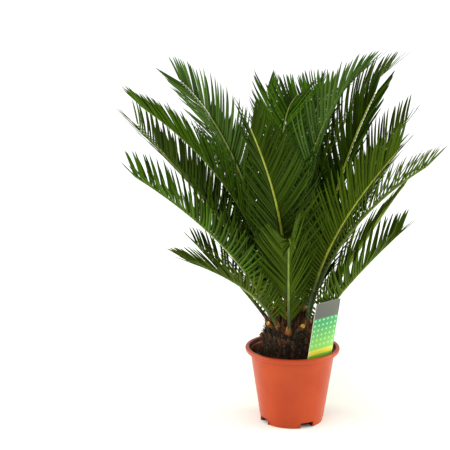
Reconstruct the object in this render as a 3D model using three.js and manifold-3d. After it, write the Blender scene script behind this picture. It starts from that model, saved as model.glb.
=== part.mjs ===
// A young sago palm in its nursery pot: a stout scaly trunk, a crown of stiff arching
// fronds, a plastic pot filled with soil, and a plant label pushed into the soil.
// Millimetres, +Z up. The origin is at the middle of the pot's flat underside.
// Directions round the plant are in degrees from +X towards +Y.

import * as THREE from 'three';
import { mergeVertices } from 'three/addons/utils/BufferGeometryUtils.js';
import Module from 'manifold-3d';

const wasm = await Module();
wasm.setup();

const clearance = 0.3;

const pot = {
  height: 153,
  rimRadius: 95,
  mouthRadius: 87.5,
  lipHeight: 9,
  bandHeight: 10,
  bandStep: 0.9,
  wallTopRadius: 83.4,
  wallFootRadius: 63.6,
  wallThickness: 2.2,
  floorThickness: 3,
  footHeight: 9,
  footRadius: 62,
  footStep: 0.8,
  segments: 32,
};

const notch = {
  count: 4,
  firstDirection: 26,
  width: 29,
  height: 11.5,
  innerRadius: 42,
  cornerRadius: 2.5,
  wall: 2,
  drainRadius: 5,
  drainDistance: 49,
};

const soil = {
  level: 137,
  dishRadius: 64,
  dishDrop: 3,
};

// The profile gives the trunk's radius at each height, from the flare at the soil to the crown.
const trunk = {
  centreX: -6,
  profile: [
    [54, 137.3], [50, 146.3], [52, 166], [50, 182], [46, 196], [41, 208], [34, 218], [25, 226], [13, 232],
  ],
  petioleSink: 7,
  segments: 24,
};

// The old leaf bases stand out of the trunk in crossing spirals.
const scales = {
  rows: 13,
  lowest: 149,
  highest: 214,
  relief: 6.5,
};

// A few cut leaf bases stand out further: direction and height of each.
const stubs = {
  places: [[212, 200], [297, 200], [20, 168], [75, 162], [130, 174], [165, 166]],
  length: 13,
  root: 8,
  width: 14,
  height: 11,
  lift: 38,
};

const label = {
  direction: -48,
  rimDistance: 77,
  tilt: 10.5,
  width: 68,
  top: 267,
  shoulder: 140,
  stakeTip: 62,
  stakeWidth: 16,
  thickness: 0.9,
  cornerRadius: 3,
};

const leaf = {
  petioleShare: 0.12,
  spacing: 27,
  rootSpan: 7,
  shortest: 71,
  lengthShare: 0.105,
  footSize: 0.45,
  tipSize: 0.5,
  keel: 38,
  footAngle: 68,
  tipAngle: 24,
  anglePower: 0.74,
  halfWidth: 7,
  depth: 2.2,
  widestAt: 0.5,
};

// The least room between a leaflet and the pot's rim, and between it and the trunk's body.
const leafRoom = {
  overRim: 4,
  offTrunk: 11,
};

const rib = {
  curveSteps: 24,
  footHalfWidth: 4.6,
  footDepth: 6.4,
  tipHalfWidth: 1.3,
  tipDepth: 1.8,
};

// One line for each frond: its compass direction, the rib's length, the lean from upright
// at its foot and at its tip, how late it bends, its sideways sweep, its foot's height,
// how far its face has rolled about the rib at the tip, and how much wider than the others
// its leaflets open.
const frondPlan = [
  { turn: 233, length: 296, lean: [25.6, 65.7], bend: 0.47, sweep: -28, foot: 197, roll: -29, opening: -12 },
  { turn: 193, length: 415, lean: [1.2, 56.7], bend: 0.39, sweep: -11, foot: 201, roll: -13, opening: 17 },
  { turn: 176, length: 488, lean: [10.7, 55], bend: 0.59, sweep: -42, foot: 210, roll: -14, opening: 2 },
  { turn: 162, length: 505, lean: [0, 55.8], bend: 0.68, sweep: 17, foot: 217, roll: 16, opening: -6 },
  { turn: 124, length: 556, lean: [26.1, 59.7], bend: 1.88, sweep: 13, foot: 221, roll: -41, opening: -2 },
  { turn: 152, length: 222, lean: [40, 58], bend: 1.0, sweep: 0, foot: 190, roll: 0, opening: 0 },
  { turn: 147, length: 430, lean: [30, 52], bend: 1.0, sweep: 0, foot: 206, roll: 0, opening: 0 },
  { turn: 264, length: 484, lean: [36.5, 29.1], bend: 0.33, sweep: -42, foot: 217, roll: 9, opening: 5 },
  { turn: 265, length: 333, lean: [27.9, 103.7], bend: 4.47, sweep: 6, foot: 188, roll: 36, opening: -7 },
  { turn: 109, length: 486, lean: [1, 71.3], bend: 1.78, sweep: -49, foot: 227, roll: 5, opening: 16 },
  { turn: 81, length: 540, lean: [13, 84], bend: 2.1, sweep: -24, foot: 223, roll: 14, opening: 10 },
  { turn: 46, length: 524, lean: [0.3, 57.6], bend: 2.09, sweep: -16, foot: 220, roll: 6, opening: -13 },
  { turn: 27, length: 557, lean: [0, 65.3], bend: 1.71, sweep: 15, foot: 214, roll: -3, opening: -10 },
  { turn: 5, length: 461, lean: [15, 31], bend: 3.5, sweep: 20, foot: 222, roll: 60, opening: -10 },
  { turn: 10, length: 445, lean: [4.6, 37.9], bend: 0.61, sweep: -26, foot: 206, roll: 30, opening: 5 },
  { turn: 318, length: 415, lean: [7.9, 41.3], bend: 0.81, sweep: 53, foot: 195, roll: -60, opening: 1 },
  { turn: 347, length: 419, lean: [2.6, 56], bend: 0.68, sweep: -18, foot: 200, roll: -1, opening: 3 },
  { turn: 17, length: 312, lean: [33.6, 36.6], bend: 0.8, sweep: 1, foot: 190, roll: 0, opening: -30 },
  { turn: 333, length: 284, lean: [33.6, 45.3], bend: 1.09, sweep: 19, foot: 185, roll: 28, opening: 3 },
  { turn: 97, length: 522, lean: [14, 59], bend: 1.1, sweep: 0, foot: 213, roll: 0, opening: 0 },
  { turn: 116, length: 490, lean: [26, 60], bend: 0.9, sweep: 0, foot: 209, roll: 0, opening: 0 },
  { turn: 80, length: 532, lean: [16, 57], bend: 1.0, sweep: 0, foot: 206, roll: 0, opening: 0 },
  { turn: 48, length: 430, lean: [32, 56], bend: 0.9, sweep: 0, foot: 202, roll: 0, opening: 0 },
  { turn: 94, length: 420, lean: [36, 62], bend: 0.9, sweep: 0, foot: 200, roll: 0, opening: 0 },
  { turn: 128, length: 330, lean: [42, 66], bend: 0.9, sweep: 0, foot: 190, roll: 0, opening: 0 },
  { turn: 60, length: 300, lean: [44, 64], bend: 0.9, sweep: 0, foot: 188, roll: 0, opening: 0 },
  { turn: 98, length: 270, lean: [48, 68], bend: 0.9, sweep: 0, foot: 180, roll: 0, opening: 0 },
];

const colours = {
  pot: 0xcc522c,
  soil: 0x2a2018,
  trunk: 0x4a3020,
  label: 0x7fbf62,
  frond: 0x3f6a2a,
};

const radians = THREE.MathUtils.degToRad;
const mix = THREE.MathUtils.lerp;
const smooth = THREE.MathUtils.smoothstep;
const up = new THREE.Vector3(0, 0, 1);

function outwards(degrees) {
  return new THREE.Vector3(Math.cos(radians(degrees)), Math.sin(radians(degrees)), 0);
}

// ---- solids and geometries ----

function toSolid(geometry) {
  const bare = geometry.clone();
  bare.deleteAttribute('normal');
  bare.deleteAttribute('uv');
  const merged = mergeVertices(bare, 1e-4);
  const corners = merged.index.array;
  const kept = [];
  for (let i = 0; i < corners.length; i += 3) {
    const [a, b, c] = [corners[i], corners[i + 1], corners[i + 2]];
    if (a !== b && b !== c && c !== a) kept.push(a, b, c);
  }
  const vertProperties = new Float32Array(merged.attributes.position.array);
  const triVerts = new Uint32Array(kept);
  return new wasm.Manifold(new wasm.Mesh({ numProp: 3, vertProperties, triVerts }));
}

function toGeometry(solid) {
  const { vertProperties, triVerts } = solid.getMesh();
  const geometry = new THREE.BufferGeometry();
  geometry.setAttribute('position', new THREE.BufferAttribute(new Float32Array(vertProperties), 3));
  geometry.setIndex(new THREE.BufferAttribute(new Uint32Array(triVerts), 1));
  geometry.computeVertexNormals();
  return geometry;
}

function biggestPiece(solid) {
  const pieces = solid.decompose();
  return pieces.reduce((best, piece) => (piece.volume() > best.volume() ? piece : best));
}

function fromPoints(points, faces) {
  const geometry = new THREE.BufferGeometry().setFromPoints(points);
  geometry.setIndex(faces.flat());
  geometry.computeVertexNormals();
  return geometry;
}

// A profile of [radius, height] pairs turned round the Z axis.
function turned(profile, segments) {
  const points = profile.map(([radius, height]) => new THREE.Vector2(radius, height));
  return new THREE.LatheGeometry(points, segments).rotateX(Math.PI / 2);
}

// A closed skin over a row of rings that all have the same number of points.
function skin(rings) {
  const sides = rings[0].length;
  const faces = [];
  for (let k = 0; k + 1 < rings.length; k += 1) {
    for (let j = 0; j < sides; j += 1) {
      const a = k * sides + j;
      const b = k * sides + ((j + 1) % sides);
      faces.push([a, b, b + sides], [a, b + sides, a + sides]);
    }
  }
  const last = (rings.length - 1) * sides;
  for (let j = 1; j + 1 < sides; j += 1) {
    faces.push([0, j + 1, j], [last, last + j, last + j + 1]);
  }
  return fromPoints(rings.flat(), faces);
}

// ---- pot ----

const bandTop = pot.height - pot.lipHeight;
const bandFoot = bandTop - pot.bandHeight;
const wallSlope = (pot.wallTopRadius - pot.wallFootRadius) / (bandFoot - pot.footHeight);
const outerWall = (z) => pot.wallFootRadius + wallSlope * (z - pot.footHeight);
const innerWall = (z) => outerWall(z) - pot.wallThickness;
const roofHeight = notch.height + notch.wall;

function potShell() {
  const floor = pot.floorThickness;
  return turned([
    [0, 0],
    [pot.footRadius - 0.8, 0],
    [pot.footRadius, 0.8],
    [pot.footRadius + 0.9, pot.footHeight],
    [outerWall(pot.footHeight) + pot.footStep, pot.footHeight + 0.6],
    [outerWall(bandFoot), bandFoot],
    [outerWall(bandFoot) + pot.bandStep, bandFoot + 0.6],
    [outerWall(bandTop) + pot.bandStep, bandTop],
    [pot.rimRadius - 3, bandTop + 0.2],
    [pot.rimRadius - 0.6, bandTop + 2.4],
    [pot.rimRadius, bandTop + 4.8],
    [pot.rimRadius - 0.4, pot.height - 1.8],
    [pot.rimRadius - 2.2, pot.height - 0.3],
    [(pot.rimRadius + pot.mouthRadius) / 2, pot.height],
    [pot.mouthRadius + 0.8, pot.height - 0.8],
    [pot.mouthRadius - 0.6, pot.height - 2.6],
    [innerWall(bandTop) + 0.6, bandTop - 1],
    [innerWall(floor + 2), floor + 2],
    [innerWall(floor) - 2, floor],
    [0, floor],
  ], pot.segments);
}

// An arch with rounded upper corners, extruded outwards between two radii.
function arch(width, height, from, to, direction) {
  const half = width / 2;
  const round = notch.cornerRadius;
  const outline = new THREE.Shape();
  outline.moveTo(-half, -1);
  outline.lineTo(half, -1);
  outline.lineTo(half, height - round);
  outline.absarc(half - round, height - round, round, 0, Math.PI / 2);
  outline.absarc(-half + round, height - round, round, Math.PI / 2, Math.PI);
  const shape = { depth: to - from, bevelEnabled: false, curveSegments: 2 };
  const geometry = new THREE.ExtrudeGeometry(outline, shape);
  geometry.translate(0, 0, from);
  const side = outwards(direction + 90);
  geometry.applyMatrix4(new THREE.Matrix4().makeBasis(side, up, outwards(direction)));
  return toSolid(geometry);
}

// Each drain pocket: a notch in the foot, a raised roof over it and a hole in that roof.
function buildPot() {
  const { count, firstDirection, wall, innerRadius, drainRadius } = notch;
  const directions = [...Array(count).keys()].map((k) => firstDirection + (k * 360) / count);
  let solid = toSolid(potShell());
  for (const direction of directions) {
    const reach = innerWall(notch.height) + 1;
    solid = solid.add(arch(notch.width + 2 * wall, roofHeight, innerRadius - wall, reach, direction));
  }
  const floorBox = new THREE.BoxGeometry(2 * pot.rimRadius, 2 * pot.rimRadius, roofHeight);
  solid = solid.subtract(toSolid(floorBox.translate(0, 0, -roofHeight / 2)));
  for (const direction of directions) {
    solid = solid.subtract(arch(notch.width, notch.height, innerRadius, pot.rimRadius, direction));
    const hole = new THREE.CylinderGeometry(drainRadius, drainRadius, 2 * roofHeight, 8).rotateX(Math.PI / 2);
    const middle = outwards(direction).multiplyScalar(notch.drainDistance).setZ(roofHeight);
    solid = solid.subtract(toSolid(hole.translate(middle.x, middle.y, middle.z)));
  }
  return solid;
}

// ---- plant label ----

const labelFrame = (() => {
  const away = outwards(label.direction);
  const rise = up.clone().multiplyScalar(Math.cos(radians(label.tilt)));
  rise.addScaledVector(away, Math.sin(radians(label.tilt)));
  const side = outwards(label.direction + 90);
  const face = side.clone().cross(rise).normalize();
  const foot = away.clone().multiplyScalar(label.rimDistance).setZ(pot.height);
  const matrix = new THREE.Matrix4().makeBasis(side, rise, face);
  return matrix.setPosition(foot);
})();

// The card is drawn flat, with its own zero where it passes the height of the pot's rim.
function buildLabel(grow) {
  const along = (z) => (z - pot.height) / Math.cos(radians(label.tilt));
  const half = label.width / 2 + grow;
  const stake = label.stakeWidth / 2 + grow;
  const round = label.cornerRadius;
  const top = along(label.top) + grow;
  const shoulder = along(label.shoulder) - grow;
  const tip = along(label.stakeTip) - grow;
  const outline = new THREE.Shape();
  outline.moveTo(0, tip);
  outline.lineTo(stake, tip + 18);
  outline.lineTo(stake, shoulder - 8);
  outline.lineTo(half, shoulder);
  outline.lineTo(half, top - round);
  outline.absarc(half - round, top - round, round, 0, Math.PI / 2);
  outline.absarc(-half + round, top - round, round, Math.PI / 2, Math.PI);
  outline.lineTo(-half, shoulder);
  outline.lineTo(-stake, shoulder - 8);
  outline.lineTo(-stake, tip + 18);
  const shape = { depth: label.thickness + 2 * grow, bevelEnabled: false, curveSegments: 3 };
  const geometry = new THREE.ExtrudeGeometry(outline, shape);
  geometry.translate(0, 0, -shape.depth / 2);
  return geometry.applyMatrix4(labelFrame);
}

// ---- soil ----

function buildSoil() {
  const floor = roofHeight + clearance;
  const wall = (z) => innerWall(z) - clearance;
  const edge = soil.level - soil.dishDrop;
  const plug = turned([
    [0, floor],
    [wall(floor), floor],
    [wall(edge), edge],
    [soil.dishRadius, soil.level],
    [0, soil.level],
  ], pot.segments);
  return toSolid(plug).subtract(toSolid(buildLabel(clearance)));
}

// ---- trunk ----

const trunkFoot = trunk.profile[0];
const trunkCrown = trunk.profile[trunk.profile.length - 1];

function trunkRadius(z) {
  const above = trunk.profile.findIndex(([, height]) => height > z);
  const [lowRadius, low] = trunk.profile[above - 1];
  const [highRadius, high] = trunk.profile[above];
  return mix(lowRadius, highRadius, (z - low) / (high - low));
}

function trunkCore() {
  const rings = [];
  const ring = (radius, height, relief) => [...Array(trunk.segments).keys()].map((k) => {
    const stands = (k + rings.length) % 2 === 0 ? relief : 0;
    return outwards((k * 360) / trunk.segments).multiplyScalar(radius + stands).setZ(height);
  });
  rings.push(ring(...trunkFoot, 0));
  for (let row = 0; row < scales.rows; row += 1) {
    const share = row / (scales.rows - 1);
    const height = mix(scales.lowest, scales.highest, share);
    rings.push(ring(trunkRadius(height) - 1, height, scales.relief * mix(1, 0.6, share)));
  }
  for (const [radius, height] of trunk.profile.slice(-2)) rings.push(ring(radius, height, 0));
  return toSolid(skin(rings));
}

// A cut leaf base: a blunt wedge that points outwards and a little up.
function trunkStub([direction, height]) {
  const away = outwards(direction);
  const side = outwards(direction + 90);
  const lift = radians(stubs.lift);
  const forward = away.clone().multiplyScalar(Math.cos(lift)).addScaledVector(up, Math.sin(lift));
  const rise = forward.clone().cross(side);
  const root = away.clone().multiplyScalar(trunkRadius(height) - stubs.root).setZ(height - 4);
  const ring = (distance, narrow) => [[1, 0], [0, 1], [-1, 0], [0, -1]].map(([across, high]) => (
    root.clone()
      .addScaledVector(forward, distance)
      .addScaledVector(side, (across * narrow * stubs.width) / 2)
      .addScaledVector(rise, (high * narrow * stubs.height) / 2)));
  return toSolid(skin([ring(0, 1), ring(stubs.root + stubs.length, 0.7)]));
}

function buildTrunk(sockets) {
  let solid = trunkCore();
  for (const place of stubs.places) solid = solid.add(trunkStub(place));
  solid = solid.translate([trunk.centreX, 0, 0]);
  for (const socket of sockets) solid = solid.subtract(socket);
  return biggestPiece(solid);
}

// ---- fronds ----

// Steps along the rib: each has its place, the rib's own direction, its side and its upper face.
function ribCurve(plan) {
  const steps = [];
  const sink = trunkRadius(plan.foot) - trunk.petioleSink;
  const place = outwards(plan.turn).multiplyScalar(sink).setZ(plan.foot);
  place.x += trunk.centreX;
  for (let k = 0; k <= rib.curveSteps; k += 1) {
    const share = k / rib.curveSteps;
    const lean = radians(mix(plan.lean[0], plan.lean[1], share ** plan.bend));
    const turn = plan.turn + plan.sweep * share * share;
    const roll = radians(plan.roll * share);
    const away = outwards(turn);
    const along = away.clone().multiplyScalar(Math.sin(lean)).addScaledVector(up, Math.cos(lean));
    const upper = up.clone().multiplyScalar(Math.sin(lean)).addScaledVector(away, -Math.cos(lean));
    const side = outwards(turn + 90);
    upper.applyAxisAngle(along, roll);
    side.applyAxisAngle(along, roll);
    if (k > 0) {
      const halfStep = plan.length / rib.curveSteps / 2;
      place.addScaledVector(steps[k - 1].along, halfStep).addScaledVector(along, halfStep);
    }
    steps.push({ place: place.clone(), along, side, upper });
  }
  return steps;
}

function alongRib(curve, share) {
  const k = Math.min(Math.floor(share * rib.curveSteps), rib.curveSteps - 1);
  const part = share * rib.curveSteps - k;
  const between = (name) => curve[k][name].clone().lerp(curve[k + 1][name], part);
  return {
    share,
    place: between('place'),
    along: between('along').normalize(),
    side: between('side').normalize(),
    upper: between('upper').normalize(),
  };
}

// A three-cornered ring: flat on the upper face, with a ridge underneath.
function ribRing(station, grow = 0) {
  const half = mix(rib.footHalfWidth, rib.tipHalfWidth, station.share) + 2 * grow;
  const depth = mix(rib.footDepth, rib.tipDepth, station.share);
  const { place, side, upper } = station;
  const top = place.clone().addScaledVector(upper, depth * 0.35 + grow);
  return [
    top.clone().addScaledVector(side, half),
    top.clone().addScaledVector(side, -half),
    place.clone().addScaledVector(upper, -depth * 0.65 - 2 * grow),
  ];
}

const longestLeaf = (plan) => leaf.shortest + leaf.lengthShare * plan.length;

const leafSize = (blade) => (
  mix(leaf.footSize, 1, smooth(blade, 0, 0.35)) * (1 - (1 - leaf.tipSize) * blade ** 2.4));

const leafAngle = (blade) => mix(leaf.footAngle, leaf.tipAngle, blade ** leaf.anglePower);

// The corners of a leaflet: four where it joins the rib, three where it is widest, and its tip.
function leafCorners(frond, row, hand, keelChange, sizeShare) {
  const [low, high] = [2, 3].map((k) => frond.rings[2 * row + k]);
  const { along, side, upper } = frond.stations[2 * row + 2];
  const blade = row / (frond.rows - 1);
  const angle = radians(leafAngle(blade) + frond.plan.opening);
  const keel = radians(leaf.keel + keelChange);
  const across = side.clone().multiplyScalar(hand * Math.cos(keel)).addScaledVector(upper, Math.sin(keel));
  const under = side.clone().multiplyScalar(hand * Math.sin(keel)).addScaledVector(upper, -Math.cos(keel));
  const forward = along.clone().multiplyScalar(Math.cos(angle)).addScaledVector(across, Math.sin(angle));
  const wide = along.clone().multiplyScalar(Math.sin(angle)).addScaledVector(across, -Math.cos(angle));
  const length = longestLeaf(frond.plan) * leafSize(blade) * sizeShare;
  const edge = hand > 0 ? 0 : 1;
  const root = low[edge].clone().lerp(high[edge], 0.5);
  const middle = root.clone().addScaledVector(forward, length * leaf.widestAt);
  const half = leaf.halfWidth * mix(1, 0.7, blade);
  return [
    low[edge],
    high[edge],
    high[2],
    low[2],
    middle.clone().addScaledVector(wide, -half),
    middle.clone().addScaledVector(wide, half),
    middle.clone().addScaledVector(under, leaf.depth),
    root.clone().addScaledVector(forward, length),
  ];
}

const leafFaces = [
  [0, 1, 5], [0, 5, 4], [1, 2, 6], [1, 6, 5], [2, 3, 6], [3, 0, 4], [3, 4, 6],
  [4, 5, 7], [5, 6, 7], [6, 4, 7],
];

// ---- keeping the leaflets apart ----

// A convex body with the directions that can part it from another one.
function convexBody(points, faces) {
  const centre = new THREE.Vector3();
  for (const point of points) centre.addScaledVector(point, 1 / points.length);
  const reach = Math.max(...points.map((point) => point.distanceTo(centre)));
  const normals = [];
  const edges = [];
  for (const [a, b, c] of faces) {
    const ab = points[b].clone().sub(points[a]);
    const ac = points[c].clone().sub(points[a]);
    normals.push(ab.clone().cross(ac).normalize());
    edges.push(ab.normalize());
  }
  return { points, centre, reach, normals, edges };
}

function gapAlong(axis, first, second) {
  let [lowA, highA, lowB, highB] = [Infinity, -Infinity, Infinity, -Infinity];
  for (const point of first.points) {
    const value = axis.dot(point);
    lowA = Math.min(lowA, value);
    highA = Math.max(highA, value);
  }
  for (const point of second.points) {
    const value = axis.dot(point);
    lowB = Math.min(lowB, value);
    highB = Math.max(highB, value);
  }
  return Math.max(lowB - highA, lowA - highB);
}

function areApart(first, second) {
  const near = first.reach + second.reach + clearance;
  if (first.centre.distanceToSquared(second.centre) > near * near) return true;
  for (const axis of [...first.normals, ...second.normals]) {
    if (gapAlong(axis, first, second) > clearance) return true;
  }
  const axis = new THREE.Vector3();
  for (const edge of first.edges) {
    for (const other of second.edges) {
      axis.crossVectors(edge, other);
      if (axis.lengthSq() < 1e-6) continue;
      if (gapAlong(axis.normalize(), first, second) > clearance) return true;
    }
  }
  return false;
}

const prismFaces = [
  [0, 2, 1], [3, 4, 5],
  [0, 1, 4], [0, 4, 3], [1, 2, 5], [1, 5, 4], [2, 0, 3], [2, 3, 5],
];

const ribBodies = (rings) => rings.slice(1).map((ring, k) => (
  convexBody([...rings[k], ...ring], prismFaces)));

function labelBody() {
  const box = new THREE.BoxGeometry(label.width, label.top - label.stakeTip, label.thickness);
  box.translate(0, (label.top + label.stakeTip) / 2 - pot.height, 0).applyMatrix4(labelFrame);
  const { position } = box.attributes;
  const points = [];
  for (let k = 0; k < position.count; k += 1) {
    points.push(new THREE.Vector3().fromBufferAttribute(position, k));
  }
  const corners = [...box.index.array];
  const faces = corners.filter((_, k) => k % 3 === 0).map((_, k) => corners.slice(3 * k, 3 * k + 3));
  return convexBody(points, faces);
}

function clearsTrunkAndPot(points) {
  return points.every(({ x, y, z }) => {
    if (z < pot.height + leafRoom.overRim) return false;
    if (z >= trunkCrown[1]) return true;
    return Math.hypot(x - trunk.centreX, y) > trunkRadius(z) + leafRoom.offTrunk;
  });
}

// Each leaflet takes the first keel and size that keep it clear of everything placed before it.
const keelChanges = [0, 8, -8, 16, -16, 24, -24];
const sizeShares = [1, 0.82, 0.64];

// Two stations for the petiole, then two for each row of leaflets, and one at the tip.
function layOutRib(plan) {
  const curve = ribCurve(plan);
  const bladeLength = (1 - leaf.petioleShare) * plan.length;
  const rows = Math.round(bladeLength / leaf.spacing);
  const span = leaf.rootSpan / plan.length;
  const shares = [0, leaf.petioleShare / 2];
  for (let row = 0; row < rows; row += 1) {
    const start = mix(leaf.petioleShare, 1 - 1.5 * span, row / (rows - 1));
    shares.push(start, start + span);
  }
  shares.push(1);
  const stations = shares.map((share) => alongRib(curve, share));
  const rings = stations.map((station) => ribRing(station));
  return { plan, rows, stations, rings, bodies: ribBodies(rings), leaflets: new Map() };
}

function placeLeaflets() {
  const fronds = frondPlan.map(layOutRib);
  const card = labelBody();
  const isFree = (frond, body) => areApart(body, card)
    && fronds.every((other) => other === frond
      || (other.bodies.every((piece) => areApart(body, piece))
        && [...other.leaflets.values()].every((piece) => areApart(body, piece))));
  const fit = (frond, row, hand) => {
    for (const sizeShare of sizeShares) {
      for (const keelChange of keelChanges) {
        const points = leafCorners(frond, row, hand, keelChange, sizeShare);
        if (!clearsTrunkAndPot(points.slice(4))) continue;
        const body = convexBody(points, leafFaces);
        if (isFree(frond, body)) return body;
      }
    }
    return null;
  };
  const most = Math.max(...fronds.map((frond) => frond.rows));
  for (let fromTip = 0; fromTip < most; fromTip += 1) {
    for (const frond of fronds.filter(({ rows }) => rows > fromTip)) {
      const row = frond.rows - 1 - fromTip;
      for (const hand of [1, -1]) {
        const body = fit(frond, row, hand);
        if (body) frond.leaflets.set(hand * (row + 1), body);
      }
    }
  }
  return fronds;
}

// The rib's skin, with a leaflet grown out of its side where there is one.
function buildFrond({ rows, rings, leaflets }) {
  const points = rings.flat();
  const faces = [[0, 2, 1]];
  const side = (low, high, hand) => {
    const edge = hand > 0 ? 0 : 1;
    const quad = [3 * low + edge, 3 * high + edge, 3 * high + 2, 3 * low + 2];
    const turn = (face) => (hand > 0 ? face : [...face].reverse());
    const row = (low - 2) / 2;
    const leaflet = Number.isInteger(row) && leaflets.get(hand * (row + 1));
    if (leaflet) {
      const first = points.length;
      points.push(...leaflet.points.slice(4));
      const corner = (k) => (k < 4 ? quad[k] : first + k - 4);
      faces.push(...leafFaces.map((face) => turn(face.map(corner))));
    } else {
      faces.push(turn([quad[0], quad[1], quad[2]]), turn([quad[0], quad[2], quad[3]]));
    }
  };
  for (let k = 0; k + 1 < rings.length; k += 1) {
    const [a, b] = [3 * k, 3 * k + 3];
    faces.push([a, a + 1, b + 1], [a, b + 1, b]);
    side(k, k + 1, 1);
    side(k, k + 1, -1);
  }
  const last = 3 * (2 * rows + 2);
  faces.push([last, last + 1, last + 2]);
  return fromPoints(points, faces);
}

// The hollow in the trunk that a petiole sits in, clear of it all round.
function buildSocket({ stations }) {
  const [foot, middle, end] = stations;
  const below = { ...foot, place: foot.place.clone().addScaledVector(foot.along, -clearance) };
  return toSolid(skin([below, middle, end].map((station) => ribRing(station, clearance))));
}

// ---- assembly ----

const plant = new THREE.Group();
plant.name = 'potted_sago_palm';

function addPart(name, geometry, color, roughness) {
  const mesh = new THREE.Mesh(geometry, new THREE.MeshStandardMaterial({ color, roughness, metalness: 0 }));
  mesh.name = name;
  plant.add(mesh);
}

const fronds = placeLeaflets();

addPart('pot', toGeometry(buildPot()), colours.pot, 0.55);
addPart('soil', toGeometry(buildSoil()), colours.soil, 0.95);
addPart('trunk', toGeometry(buildTrunk(fronds.map(buildSocket))), colours.trunk, 0.9);
addPart('plant_label', toGeometry(toSolid(buildLabel(0))), colours.label, 0.4);
fronds.forEach((frond, index) => {
  const name = `frond_${String(index + 1).padStart(2, '0')}`;
  addPart(name, buildFrond(frond), colours.frond, 0.5);
});

export default plant;
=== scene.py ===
import math
import random

import bmesh
import bpy
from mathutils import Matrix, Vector, noise


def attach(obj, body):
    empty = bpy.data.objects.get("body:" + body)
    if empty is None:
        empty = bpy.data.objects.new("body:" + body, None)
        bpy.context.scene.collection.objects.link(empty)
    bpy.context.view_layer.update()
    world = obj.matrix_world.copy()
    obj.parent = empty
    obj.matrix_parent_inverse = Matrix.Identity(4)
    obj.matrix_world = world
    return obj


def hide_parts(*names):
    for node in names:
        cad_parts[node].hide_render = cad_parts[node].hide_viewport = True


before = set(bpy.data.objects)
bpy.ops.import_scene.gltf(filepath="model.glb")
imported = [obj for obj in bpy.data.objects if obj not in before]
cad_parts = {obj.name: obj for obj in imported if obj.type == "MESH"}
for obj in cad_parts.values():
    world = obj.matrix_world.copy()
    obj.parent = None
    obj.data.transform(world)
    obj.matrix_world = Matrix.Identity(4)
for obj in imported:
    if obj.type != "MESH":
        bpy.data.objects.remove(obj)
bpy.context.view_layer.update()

up = Vector((0, 0, 1))


def mix(low, high, share):
    return low + (high - low) * share


def smooth(value, low, high):
    share = min(max((value - low) / (high - low), 0), 1)
    return share * share * (3 - 2 * share)


def outwards(degrees):
    return Vector((math.cos(math.radians(degrees)), math.sin(math.radians(degrees)), 0))


def allRound(count):
    return [outwards(360 * j / count) for j in range(count)]


# A socket that can be used in plain sums; each sum adds its node to the tree.
class Wire:
    def __init__(self, tree, socket=None):
        self.tree = tree
        self.socket = socket

    def node(self, kind, settings=None, inputs=None, out=0):
        made = self.tree.nodes.new(kind)
        for name, value in (settings or {}).items():
            setattr(made, name, value)
        for name, value in (inputs or {}).items():
            if isinstance(value, Wire):
                self.tree.links.new(value.socket, made.inputs[name])
            else:
                made.inputs[name].default_value = value
        return Wire(self.tree, made.outputs[out])

    def out(self, name):  # another output of the same node
        return Wire(self.tree, self.socket.node.outputs[name])

    def maths(self, operation, *others):
        return self.node("ShaderNodeMath", {"operation": operation}, dict(enumerate((self, *others))))

    def __add__(self, other):
        return self.maths("ADD", other)

    def __sub__(self, other):
        return self.maths("SUBTRACT", other)

    def __rsub__(self, other):
        return self.maths("MULTIPLY_ADD", -1.0, other)

    def __mul__(self, other):
        return self.maths("MULTIPLY", other)

    def __truediv__(self, other):
        return self.maths("DIVIDE", other)

    def __pow__(self, other):
        return self.maths("POWER", other)

    __radd__ = __add__
    __rmul__ = __mul__

    def vector(self, operation, *others):
        return self.node("ShaderNodeVectorMath", {"operation": operation}, dict(enumerate((self, *others))))

    def times(self, amount):  # a vector made longer or shorter
        return self.node("ShaderNodeVectorMath", {"operation": "SCALE"}, {0: self, "Scale": amount})

    def plus(self, other):
        return self.vector("ADD", other)

    def turn(self):  # the cosine and the sine of an angle in degrees
        angle = self * (math.pi / 180)
        return angle.maths("COSINE"), angle.maths("SINE")

    def parts(self):
        x = self.node("ShaderNodeSeparateXYZ", None, {0: self})
        return x, x.out("Y"), x.out("Z")

    def towards(self, other, degrees):  # this direction swung towards another one, square to it
        cosine, sine = degrees.turn()
        return self.times(cosine).plus(other.times(sine))

    def step(self, low, high, first=0.0, last=1.0):  # a soft step from first to last
        ends = {"Value": self, "From Min": low, "From Max": high, "To Min": first, "To Max": last}
        return self.node("ShaderNodeMapRange", {"interpolation_type": "SMOOTHSTEP"}, ends)

    def colours(self, low, high):
        return self.node("ShaderNodeMix", {"data_type": "RGBA"}, {0: self, 6: low, 7: high}, 2)


def reachOf(x, y):
    return (x * x + y * y).maths("SQRT")


# Materials.

def tint(red, green, blue):  # a colour given as it looks on a screen, 0 to 255
    parts = [value / 255 for value in (red, green, blue)]
    return (*[part / 12.92 if part < 0.04 else ((part + 0.055) / 1.055) ** 2.4 for part in parts], 1)


def startMaterial(name):
    material = bpy.data.materials.new(name)
    material.use_nodes = True
    surface = material.node_tree.nodes["Principled BSDF"]
    start = Wire(material.node_tree)
    place = start.node("ShaderNodeTexCoord").out("Object")
    return material, surface, start, place


def plug(surface, **wires):
    names = {"colour": "Base Color", "roughness": "Roughness", "normal": "Normal"}
    for name, wire in wires.items():
        wire.tree.links.new(wire.socket, surface.inputs[names[name]])


def spots(place, scale, detail, roughness=0.55):
    inputs = {"Vector": place, "Scale": scale, "Detail": detail, "Roughness": roughness}
    return place.node("ShaderNodeTexNoise", {"noise_dimensions": "3D"}, inputs)


def stretched(place, x, y, z):
    return place.vector("MULTIPLY", (x, y, z))


def bump(height, distance, strength):
    return height.node("ShaderNodeBump", None, {"Strength": strength, "Distance": distance, "Height": height})


def setShine(surface, level):
    surface.inputs["Specular IOR Level"].default_value = level


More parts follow.
